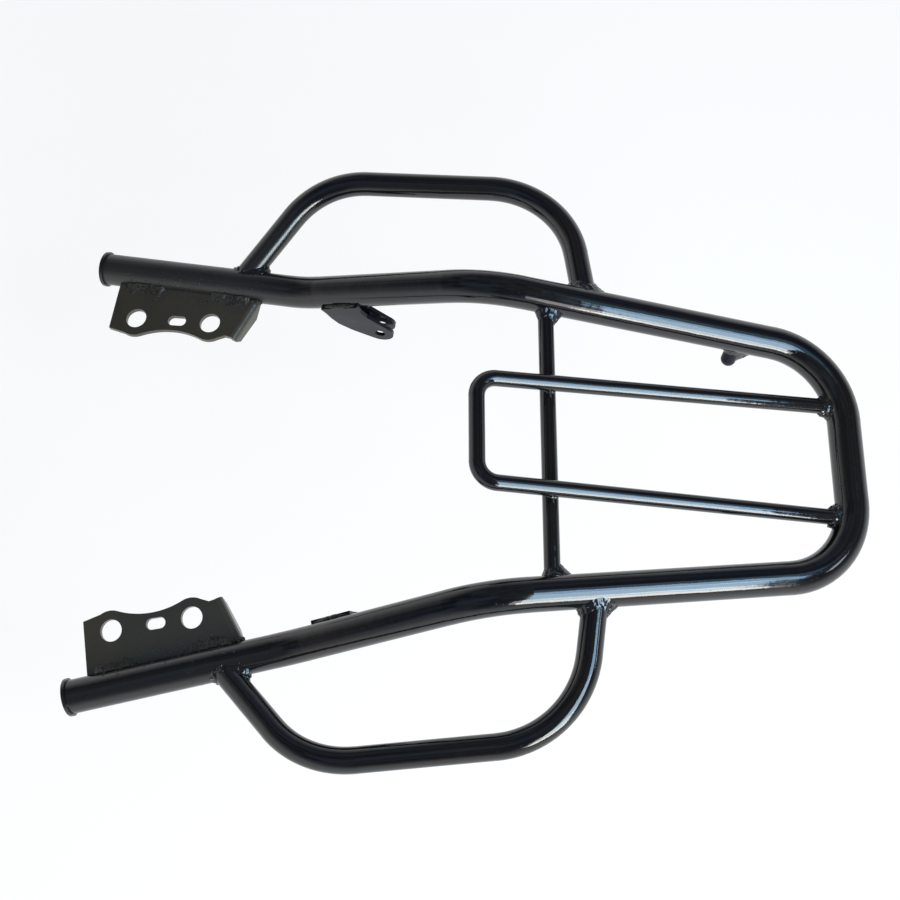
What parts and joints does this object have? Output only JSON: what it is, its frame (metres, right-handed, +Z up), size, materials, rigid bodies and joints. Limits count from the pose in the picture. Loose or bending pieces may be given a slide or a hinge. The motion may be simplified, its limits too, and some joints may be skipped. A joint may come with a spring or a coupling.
{
  "type": "motorcycle luggage rack",
  "caption": "Welded tube luggage rack for a motorcycle's tail, with a level load frame, side grab handles, pressed mounting plates and strap pegs.",
  "frame": {"origin": "midway along the rack and on its plane of symmetry, at the level of its lowest point, which is the rim of the end caps", "axes": "+X to the rear of the motorcycle, along the level load frame; +Y to the rack's right side; +Z up, square with the load frame"},
  "size_m": [0.5874, 0.4734, 0.1832],
  "materials": {
    "gloss_black_paint": "gloss black paint, lightly orange-peeled",
    "painted_weld": "gloss black paint over a rippled weld bead"
  },
  "bodies": {
    "root": {"main_tube": "gloss_black_paint", "cross_bar": "gloss_black_paint", "inner_loop": "gloss_black_paint", "grab_handle_left": "gloss_black_paint", "grab_handle_right": "gloss_black_paint", "mount_plate_left": "gloss_black_paint", "mount_plate_right": "gloss_black_paint", "stay_bracket_left": "gloss_black_paint", "stay_bracket_right": "gloss_black_paint", "strap_peg_left": "gloss_black_paint", "strap_peg_right": "gloss_black_paint", "end_cap_left": "gloss_black_paint", "end_cap_right": "gloss_black_paint", "handle_front_weld_left": "painted_weld", "handle_front_weld_right": "painted_weld", "handle_rear_weld_left": "painted_weld", "handle_rear_weld_right": "painted_weld", "cross_bar_weld_left": "painted_weld", "cross_bar_weld_right": "painted_weld", "loop_end_weld_left": "painted_weld", "loop_end_weld_right": "painted_weld", "loop_crossing_weld_left": "painted_weld", "loop_crossing_weld_right": "painted_weld", "plate_weld_left": "painted_weld", "plate_weld_right": "painted_weld", "bracket_weld_left": "painted_weld", "bracket_weld_right": "painted_weld", "peg_weld_left": "painted_weld", "peg_weld_right": "painted_weld"}
  },
  "joints": []
}
